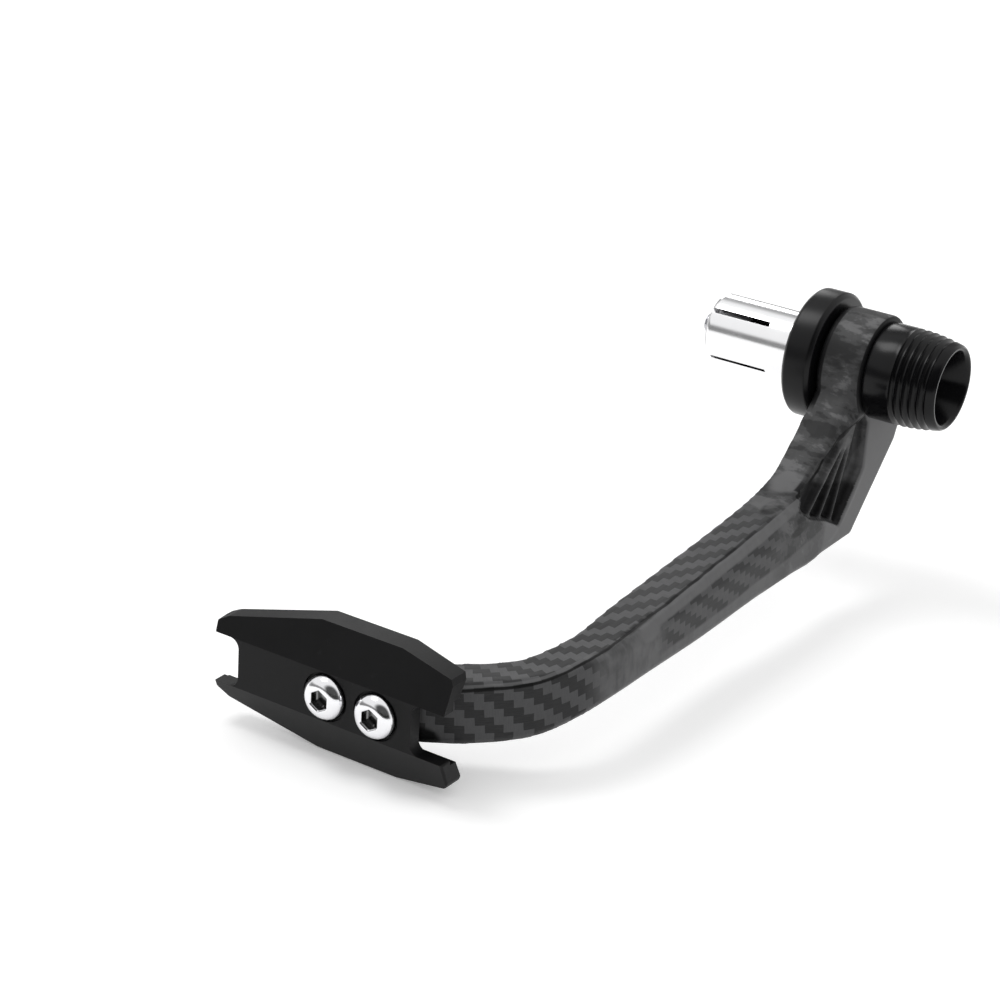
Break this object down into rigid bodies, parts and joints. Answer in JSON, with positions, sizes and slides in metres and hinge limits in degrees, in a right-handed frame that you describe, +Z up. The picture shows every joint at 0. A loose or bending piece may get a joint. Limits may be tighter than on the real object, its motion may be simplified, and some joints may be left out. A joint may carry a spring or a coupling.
{
  "type": "lever guard",
  "caption": "Bar end lever guard: a moulded channel arm with an end slider, clamped by a ribbed cap and an expander plug.",
  "frame": {"origin": "on the handlebar axis, on the inner face of the spacer ring, where it meets the end of the bar", "axes": "+X runs along the handlebar, outwards; -Y points forwards, to the slider; +Z is up"},
  "size_m": [0.0971, 0.1801, 0.0743],
  "materials": {
    "arm_film": "twill pattern film under a satin coat",
    "slider_black": "satin black moulding",
    "anodised_black": "black anodised, turned",
    "bare_aluminium": "polished",
    "plated_steel": "bright plating"
  },
  "bodies": {
    "root": {"guard_arm": "arm_film", "tip_slider": "slider_black", "slider_screw_inner": "plated_steel", "slider_screw_outer": "plated_steel", "slider_nut_inner": "plated_steel", "slider_nut_outer": "plated_steel", "eye_bush": "plated_steel", "spacer_ring": "anodised_black", "bar_end_cap": "anodised_black", "clamp_bolt": "plated_steel", "bolt_washer": "plated_steel", "expander_sleeve": "bare_aluminium", "expander_cone": "bare_aluminium"}
  },
  "joints": []
}
